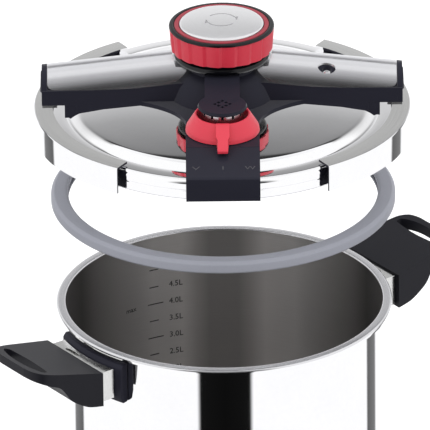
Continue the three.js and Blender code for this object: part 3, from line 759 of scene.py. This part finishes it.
def makeSeal():
    inside, outside, foot, top = seal["inside"], seal["outside"], seal["foot"], seal["top"]
    deep = inside + seal["lipDepth"]
    outline = [(inside + 2, foot), (outside - 1.5, foot), (outside, foot + 1.5), (outside, top - 2.2)]
    outline += [(outside - 2.2, top), (inside + 2, top), (inside, top - 1.2), (inside, top - 3)]
    outline += [(deep, top - 3.6), (deep, foot + 3.4), (inside, foot + 2.6), (inside, foot + 1.4)]
    ring = turned("sealingRing", outline, low=sealZero, steps=160)
    softEdges(ring, 0.6, 3, 20)
    finished(ring, "seal", finishes["silicone"], ["sealing_ring"])


makeSeal()
print("sealing ring made")

# Lid

lid = {"skirt": 120.6, "sheet": 1.2, "drop": -3.1}


def lidTop(radius):
    return 22 - 2 * (radius / 60) ** 2.45


def makeLid():
    edge, drop, sheet = lid["skirt"], lid["drop"], lid["sheet"]
    outer = [(r, lidTop(r)) for r in range(0, 92, 7)]
    outer += [(94.5, 15.93), (98, 15.35), (99.8, 14.95), (101.4, 14.1), (103.4, 12.8), (105.2, 11.4)]
    outer += [(106.2, 10.75), (106.9, 10.55), (107.5, 10.8), (108, 11.2), (108.8, 11.4), (112, 11.28)]
    outer += [(116.6, 11.05), (118.1, 10.75), (119.3, 10.05), (120.1, 9.1), (edge - 0.05, 7.9), (edge, 6.5)]
    outer += [(edge, 3.9), (edge - 0.35, 3.5), (edge - 0.35, 3.1), (edge, 2.7), (edge, drop + 0.5)]
    inner = [(edge - 0.4, drop), (edge - sheet, drop), (edge - sheet, 7.2), (118.4, 9.5), (116.5, 9.9)]
    inner += [(108.6, 10.1), (106.8, 9.3), (104.4, 10.4), (99.4, 13.6), (93, 14.9)]
    inner += [(r, lidTop(r) - sheet) for r in range(84, -1, -12)]
    shell = turned("lidShell", outer + inner, low=lidZero, steps=200)
    finished(shell, "lid", finishes["polishedSteel"], ["lid_shell"], smooth=35)


makeLid()
print("lid made")

# Knob

knob = {
    "ribs": 20,
    "radius": 36.2,
    "low": 56.4,
    "high": 72.0,
    "tooth": [0.97, 0.984, 0.991, 0.996, 1.0],  # how far out each corner of a rib stands
    "taper": 0.966,
    "bore": 33.6,
}


def makeGripRing():
    perRib = len(knob["tooth"])
    height = knob["high"] - knob["low"]
    bpy.ops.object.select_all(action="DESELECT")
    bpy.ops.mesh.primitive_cylinder_add(
        vertices=knob["ribs"] * perRib,
        radius=knob["radius"] * mm,
        depth=height * mm,
        location=(0, 0, lidZero + (knob["low"] + height / 2) * mm),
    )
    ring = bpy.context.object
    ring.name = ring.data.name = "knobGrip"
    bpy.ops.object.transform_apply(location=True, rotation=True, scale=True)
    for step, share in enumerate(knob["tooth"]):

        def onStep(place):
            around = math.degrees(math.atan2(place.y, place.x)) % 360
            return round(around / 360 * knob["ribs"] * perRib) % perRib == step

        pickCorners(ring, onStep)
        bpy.ops.transform.resize(value=(share, share, 1), center_override=(0, 0, lidZero))
        objectMode()
    lowest = lidZero + (knob["low"] + 0.1) * mm
    pickCorners(ring, lambda place: place.z < lowest)
    bpy.ops.transform.resize(value=(knob["taper"], knob["taper"], 1), center_override=(0, 0, lidZero))
    objectMode()
    combined(ring, placed(rod("bore", knob["bore"], 50, 80, sides=96), lidZero))
    softEdges(ring, 0.35, 2, 28)
    finished(ring, "knob", finishes["redPlastic"], ["knob_grip"], smooth=24)


def makeKnob():
    makeGripRing()
    band = turned(
        "knobBand",
        [(8.4, 56.1), (33.5, 56.1), (33.5, 72.3), (36.3, 72.3), (36.3, 73.1), (35.6, 73.9),
         (33.4, 74), (32.8, 73.6), (32.8, 72), (31, 72), (31, 58.6), (8.4, 58.6)],
        low=lidZero,
    )
    softEdges(band, 0.3, 2)
    finished(band, "knob", finishes["glossBlack"], ["knob_band"])
    inner = turned(
        "knobInnerRing",
        [(29.4, 64), (30.7, 64), (30.7, 72.3), (32.5, 72.3), (32.5, 73.8), (32.1, 74.2),
         (29.7, 74.2), (29.4, 73.9)],
        low=lidZero,
    )
    finished(inner, "knob", finishes["deepRed"], ["knob_inner_ring"])
    dome = [(r, 77.2 - 1.9 * (r / 27) ** 2.2) for r in (0, 4, 8, 12, 16, 20, 23, 25.5, 27)]
    edge = [(28.2, 75.0), (28.9, 74.3), (28.9, 66), (28, 66)]
    under = [(28, 73.6), (26.9, 74.3), (19.8, 75.4), (0, 76.2)]
    cap = turned("knobCap", dome + edge + under, low=lidZero)
    finished(cap, "knob", finishes["capSteel"], ["knob_cap"])
    lip = smoothPath([(28, 48.25), (31.4, 49.3), (32.9, 51.4), (32.3, 53.3), (30.6, 54.4)])
    outline = [(8.4, 48.2), (26, 48.2)] + lip + [(30.5, 55.8), (8.4, 55.8)]
    collar = turned("knobCollar", outline, low=lidZero)
    finished(collar, "knob", finishes["glossBlack"], ["knob_collar"])


def makeMark():  # two plain turning arrows on the cap
    marks = []
    for turn in (0, 180):
        outline = [(8.6, 76.2), (10.6, 76.2), (10.6, 77.1), (8.6, 77.1)]
        low = lidZero - 0.1 * mm
        marks.append(turned("arrow", outline, low=low, steps=24, fromAngle=25 + turn, sweep=115))
        head = prism("head", [(6.6, 0), (12.6, 0), (9.6, -5.0)], 76.0, 76.98)
        marks.append(placed(head, lidZero, 25 + turn))
    finished(joined(marks, "turnMark"), "knob", finishes["platedSteel"])


makeKnob()
makeMark()
print("knob made")

# Bridge covers

cover = {
    "radius": 17.5,
    "sheet": 1.2,
    "middle": 78.0,
    "axis": 30.7,
    "slope": math.degrees(math.atan(9.2 / 81)),
    "inner": 24.5,
    "solidTo": 36.5,
    "outer": 120.0,
    "collarRoom": 34.4,
    "window": (6.2, 3.1),  # half its length and half its width
}


def barrel(name, radius, sides=128):
    bpy.ops.object.select_all(action="DESELECT")
    bpy.ops.mesh.primitive_cylinder_add(
        vertices=sides,
        radius=radius * mm,
        depth=150 * mm,
        location=(cover["middle"] * mm, 0, lidZero + cover["axis"] * mm),
        rotation=(0, math.radians(90 + cover["slope"]), 0),
    )
    piece = bpy.context.object
    piece.name = piece.data.name = name
    bpy.ops.object.transform_apply(location=True, rotation=True, scale=True)
    return piece


def makeCover(name, window):
    inner, outer = cover["inner"], cover["outer"]
    foot = smoothPath(
        [(inner, 45.4), (28, 41.4), (32.5, 38.3), (38, 36.6), (46, 35.3), (60, 33.9), (80, 32.9),
         (outer - 6, 32.4)]
    )
    foot += [(outer - 3, 32.6), (outer - 1, 33.6), (outer, 35.6)]
    outline = foot + [(outer, 70), (inner, 70)]
    skin = barrel(name, cover["radius"])
    combined(skin, placed(prism("side", outline, -40, 40, "xz"), lidZero), "INTERSECT")
    core = barrel("core", cover["radius"] - cover["sheet"])
    room = block("room", (cover["solidTo"], -40, 0), (outer + 9, 40, 80))
    combined(core, placed(room, lidZero), "INTERSECT")
    combined(skin, core)
    combined(skin, placed(rod("collarRoom", cover["collarRoom"], 47.6, 70, sides=96), lidZero))
    if window:
        place = middleOf("indicator_pin")
        length, width = cover["window"]
        turns = [step * math.pi / 24 for step in range(48)]
        hole = prism("window", [(length * math.cos(a), width * math.sin(a)) for a in turns], 30, 70)
        hole.location = (place.x, place.y, lidZero)
        selectOnly(hole)
        bpy.ops.object.transform_apply(location=True, rotation=True, scale=True)
        combined(skin, hole)
    softEdges(skin, 0.5, 2, 35)
    return skin


rightSkin = makeCover("rightCover", True)
finished(rightSkin, "lid", finishes["satinCover"], ["right_cover"])
leftSkin = placed(makeCover("leftCover", False), turn=180)
finished(leftSkin, "lid", finishes["satinCover"], ["left_cover"])
rightSkin.visible_glossy = leftSkin.visible_glossy = False
print("covers made")

# Bridge housing, hood and valve


def makeHousing():
    housing = copyOf("bridge_housing", "bridgeHousing")
    softEdges(housing, 0.5, 2, 35)
    finished(housing, "lid", finishes["blackPlastic"], ["bridge_housing"], smooth=34)
    housing.visible_glossy = False  # the studio shades the dome evenly under the bridge


def makeHood():
    hood = copyOf("valve_hood", "valveHood")
    finished(hood, "lid", finishes["blackPlastic"], ["valve_hood"], smooth=34)


def makeValve():
    body = turned(
        "valveBody",
        [(2.3, 8), (6, 8), (6, 20.8), (10, 20.8), (10.6, 24), (14.3, 26), (14.3, 40.2), (12.3, 40.2),
         (12.3, 27), (8, 25.6), (2.3, 25.6)],
        low=lidZero,
        steps=96,
        centre=valvePlace,
    )
    notches = 12
    for count in range(notches):
        notch = block("notch", (11, -0.9, 37.6), (16, 0.9, 42.2))
        selectOnly(notch)
        notch.rotation_euler = (0, 0, math.radians(count * 360 / notches))
        notch.location = (valvePlace.x, valvePlace.y, lidZero)
        bpy.ops.object.transform_apply(location=True, rotation=True, scale=True)
        combined(body, notch)
    softEdges(body, 0.25, 2)
    finished(body, "lid", finishes["platedSteel"], ["valve_body"])


marksOnStrip = {"slope": 11.8, "at": (-115.0, 18.62), "proud": 0.12, "apart": 18.4}


def chevron(middle, half, top=1.7, low=-1.9, thick=0.75):
    left, right = middle - half, middle + half
    points = [(left, top), (left + thick, top), (middle, low + thick * 1.3)]
    return points + [(right - thick, top), (right, top), (middle, low)]


def makeStripMarks():  # closed, half and full pressure, as plain strokes
    apart = marksOnStrip["apart"]
    bar = [(-0.4, -1.9), (0.4, -1.9), (0.4, 1.8), (-0.4, 1.8)]
    strokes = [chevron(-apart, 2.7), bar, chevron(apart - 1.7, 1.9), chevron(apart + 1.7, 1.9)]
    marks = [prism("stroke", stroke, -0.6, marksOnStrip["proud"]) for stroke in strokes]
    mark = joined(marks, "pressureMarks")
    y, z = marksOnStrip["at"]
    mark.rotation_euler = (math.radians(marksOnStrip["slope"]), 0, 0)
    mark.location = (0, y * mm, lidZero + z * mm)
    bpy.ops.object.transform_apply(location=True, rotation=True, scale=True)
    finished(mark, "lid", finishes["faintMark"])


makeHousing()
makeHood()
makeValve()
makeStripMarks()
print("housing, hood and valve made")

# Pressure selector

selector = {
    "foot": 24.2,
    "outer": 25.4,
    "inner": 17.6,
    "pointerHalf": 4.6,
    "tipFrom": -95.0,
    "tipShare": 0.76,
}


def makeSelector():
    foot, outer, inner = selector["foot"], selector["outer"], selector["inner"]
    outline = [(inner, foot), (outer, foot), (25.2, foot + 1.6), (24.8, foot + 3)]
    outline += [(19.6, 35.6), (18.9, 36.5), (18.2, 36.7), (inner, 36.3)]
    ring = turned("selectorRing", outline, low=lidZero, centre=valvePlace)
    side = smoothPath([(-82, 36.2), (-84.6, 37.2), (-94, 32.2), (-102.8, 26.8), (-104, 25.4)], 4)
    side = [(-82, foot)] + side + [(-104, foot)]
    rib = placed(prism("rib", side, -selector["pointerHalf"], selector["pointerHalf"], "yz"), lidZero)
    pickCorners(rib, lambda place: place.y < selector["tipFrom"] * mm)  # the pointer narrows to its tip
    bpy.ops.transform.resize(value=(selector["tipShare"], 1, 1), center_override=(0, 0, 0))
    objectMode()
    combined(ring, rib, "UNION")
    softEdges(ring, 0.45, 3)
    finished(ring, "selector", finishes["redPlastic"], ["selector_ring"])


makeSelector()

# Clamping jaws, modelled on the +X side round the middle that the open jaw has

jaws = {
    "half": 58.0,  # degrees
    "hookHalf": 32.0,
    "top": 14.0,
    "bottom": -5.7,
    "inside": 121.2,
    "outside": 122.6,
    "flange": 109.7,
    "hook": 113.4,
}


def makeJaw():
    top, bottom = jaws["top"], jaws["bottom"]
    inside, outside = jaws["inside"], jaws["outside"]
    flange = [(jaws["flange"], top - 1.6), (inside, top - 1.6), (inside, bottom + 0.6)]
    flange += [(outside, bottom + 0.6), (outside, top - 0.9), (outside - 0.3, top - 0.3)]
    flange += [(outside - 0.9, top), (jaws["flange"], top)]
    edge = outside - 0.02
    hook = [(jaws["hook"], bottom), (edge, bottom), (edge, bottom + 1.8), (jaws["hook"], bottom + 1.8)]
    half, hookHalf = jaws["half"], jaws["hookHalf"]
    jaw = turned("rightJaw", flange, low=lidZero, steps=72, fromAngle=-half, sweep=2 * half)
    lip = turned("hook", hook, low=lidZero, steps=40, fromAngle=-hookHalf, sweep=2 * hookHalf)
    combined(jaw, lip, "UNION")
    softEdges(jaw, 0.3, 2)
    selectOnly(jaw)
    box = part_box("right_jaw")
    jaw.location = (box[1].x - outside * mm, 0, 0)  # where the open jaw stands
    bpy.ops.object.transform_apply(location=True, rotation=True, scale=True)
    return jaw


def jawInsideShadeFaces(centre, normal):  # the inner side of a jaw's wall and hook, painted black as painted shade
    return abs(normal.z) < 0.5 and normal.xy.dot(centre.xy) < 0 and centre.xy.length > 114 * mm


rightJaw = makeJaw()
leftJaw = duplicate(rightJaw, "leftJaw", 180)
for side, jaw in (("right", rightJaw), ("left", leftJaw)):
    finished(jaw, side + "_jaw", finishes["polishedSteel"], [side + "_jaw"])
    paintFaces(jaw, finishes["jawTop"], lambda c, n: n.z > 0.95 and c.z > lidZero)
    # painted shade: the jaws' inner faces get the black plastic finish where the real jaw is only in shadow
    paintFaces(jaw, finishes["blackPlastic"], jawInsideShadeFaces)
print("selector and jaws made")

# CAD nodes that stay get their finish here
kept = {
    "aluminium": ["base_core"],
    "satinSteel": ["right_bracket", "left_bracket"],
    "darkRubber": ["relief_plug", "centre_gasket", "valve_gasket"],
}
for node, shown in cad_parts.items():
    name = next((finish for finish, members in kept.items() if node in members), "platedSteel")
    if not shown.material_slots:
        shown.data.materials.append(finishes[name])
    for place in shown.material_slots:
        place.material = finishes[name]
    shown.visible_glossy = False  # small parts stay out of the polished dome

# Floor, light and camera


# The studio's cards and sheets as (place, brightness): from front to back, or from level to overhead
studio = {
    "light": 1.12,
    "below": [
        (0, 0.004), (0.098, 0.006), (0.112, 1), (0.69, 1), (0.7, 0.12), (0.77, 0.2), (0.785, 1), (1, 1),
    ],
    "front": [(0, 0.01), (0.17, 0.06), (0.39, 0.24), (0.7, 0.42), (1, 0.6)],
    "back": [
        (0, 0.9), (0.2, 0.8), (0.275, 0.62), (0.3, 0.5), (0.34, 0.36), (0.4, 0.27),
        (0.46, 0.2), (0.475, 0.03), (0.51, 0.03), (0.53, 1), (0.8, 0.8), (1, 0.6),
    ],
    "sideways": [(0, 0), (0.15, 0), (0.2, 1), (0.72, 1), (0.85, 0), (1, 0)],
    "behind": [(0, 0), (0.5, 0), (0.501, 1), (1, 1)],
    "soft": [(0, 0.15), (0.5, 0.64), (0.75, 1), (1, 1.25)],  # from below to above
    "floorGlow": 0.2,
}


def makeFloor():
    bpy.ops.object.select_all(action="DESELECT")
    bpy.ops.mesh.primitive_circle_add(vertices=64, radius=40, fill_type="NGON", location=(0, 0, -0.0005))
    floor = bpy.context.object
    floor.name = "floor"
    glow = finishes["floor"].node_tree.nodes["Principled BSDF"]  # a lit floor sheet, as in a product studio
    glow.inputs["Emission Color"].default_value = (1, 1, 1, 1)
    glow.inputs["Emission Strength"].default_value = studio["floorGlow"]
    floor.data.materials.append(finishes["floor"])
    floor.visible_glossy = floor.visible_diffuse = False


def makeWorld():
    world = bpy.data.worlds.new("studio")
    bpy.context.scene.world = world
    world.use_nodes = True
    tree = world.node_tree
    tree.nodes.clear()
    coords = tree.nodes.new("ShaderNodeTexCoord")
    parts = tree.nodes.new("ShaderNodeSeparateXYZ")
    tree.links.new(coords.outputs["Generated"], parts.inputs[0])
    x, y, z = parts.outputs
    towards = mathNode(tree, "MULTIPLY", y, -1.0)
    turn = mathNode(tree, "ABSOLUTE", mathNode(tree, "ARCTAN2", x, towards))  # 0 in front, pi behind
    azimuth = mathNode(tree, "DIVIDE", turn, math.pi)
    rise = mathNode(tree, "ARCSINE", z)
    height = mathNode(tree, "DIVIDE", rise, math.pi / 2)  # 0 level, 1 overhead
    below = ramp(tree, azimuth, studio["below"])
    front = ramp(tree, height, studio["front"])
    back = ramp(tree, height, studio["back"])
    sideways = ramp(tree, azimuth, studio["sideways"])
    behind = ramp(tree, azimuth, studio["behind"])

    def mixed(factor, first, second):
        node = tree.nodes.new("ShaderNodeMix")
        node.data_type = "RGBA"
        tree.links.new(factor, node.inputs["Factor"])
        for label, value in (("A", first), ("B", second)):
            if isinstance(value, tuple):
                node.inputs[label].default_value = value
            else:
                tree.links.new(value, node.inputs[label])
        return node.outputs["Result"]

    upper = mixed(sideways, mixed(behind, front, back), (1, 1, 1, 1))
    seen = mixed(mathNode(tree, "GREATER_THAN", z, 0.0), below, upper)
    path = tree.nodes.new("ShaderNodeLightPath")
    soft = ramp(tree, mathNode(tree, "MULTIPLY_ADD", z, 0.5, 0.5), studio["soft"])
    plain = mixed(path.outputs["Is Camera Ray"], soft, (1, 1, 1, 1))
    colour = mixed(path.outputs["Is Glossy Ray"], plain, seen)
    background = tree.nodes.new("ShaderNodeBackground")
    background.inputs["Strength"].default_value = studio["light"]
    tree.links.new(colour, background.inputs["Color"])
    output = tree.nodes.new("ShaderNodeOutputWorld")
    tree.links.new(background.outputs[0], output.inputs["Surface"])


view = {
    "distance": 8.0,  # metres
    "lens": 968.0,
    "elevation": 25.5,
    "lean": 0.6,
    "aside": -5.8,
    "height": 229.0,
}


def makeCamera():
    camera = bpy.data.objects.new("camera", bpy.data.cameras.new("camera"))
    bpy.context.scene.collection.objects.link(camera)
    rise = math.radians(view["elevation"])
    target = Vector((view["aside"] * mm, 0, view["height"] * mm))
    back = Vector((0, -math.cos(rise), math.sin(rise)))
    camera.location = target + back * view["distance"]
    camera.rotation_euler = (math.radians(90) - rise, 0, 0)
    camera.rotation_euler.rotate_axis("Z", math.radians(-view["lean"]))
    camera.data.lens = view["lens"]
    camera.data.sensor_width = 36
    camera.data.clip_start = 0.1
    camera.data.clip_end = 60
    bpy.context.scene.camera = camera


makeFloor()
makeWorld()
makeCamera()
bpy.context.scene.view_settings.view_transform = "Standard"
print("studio made")
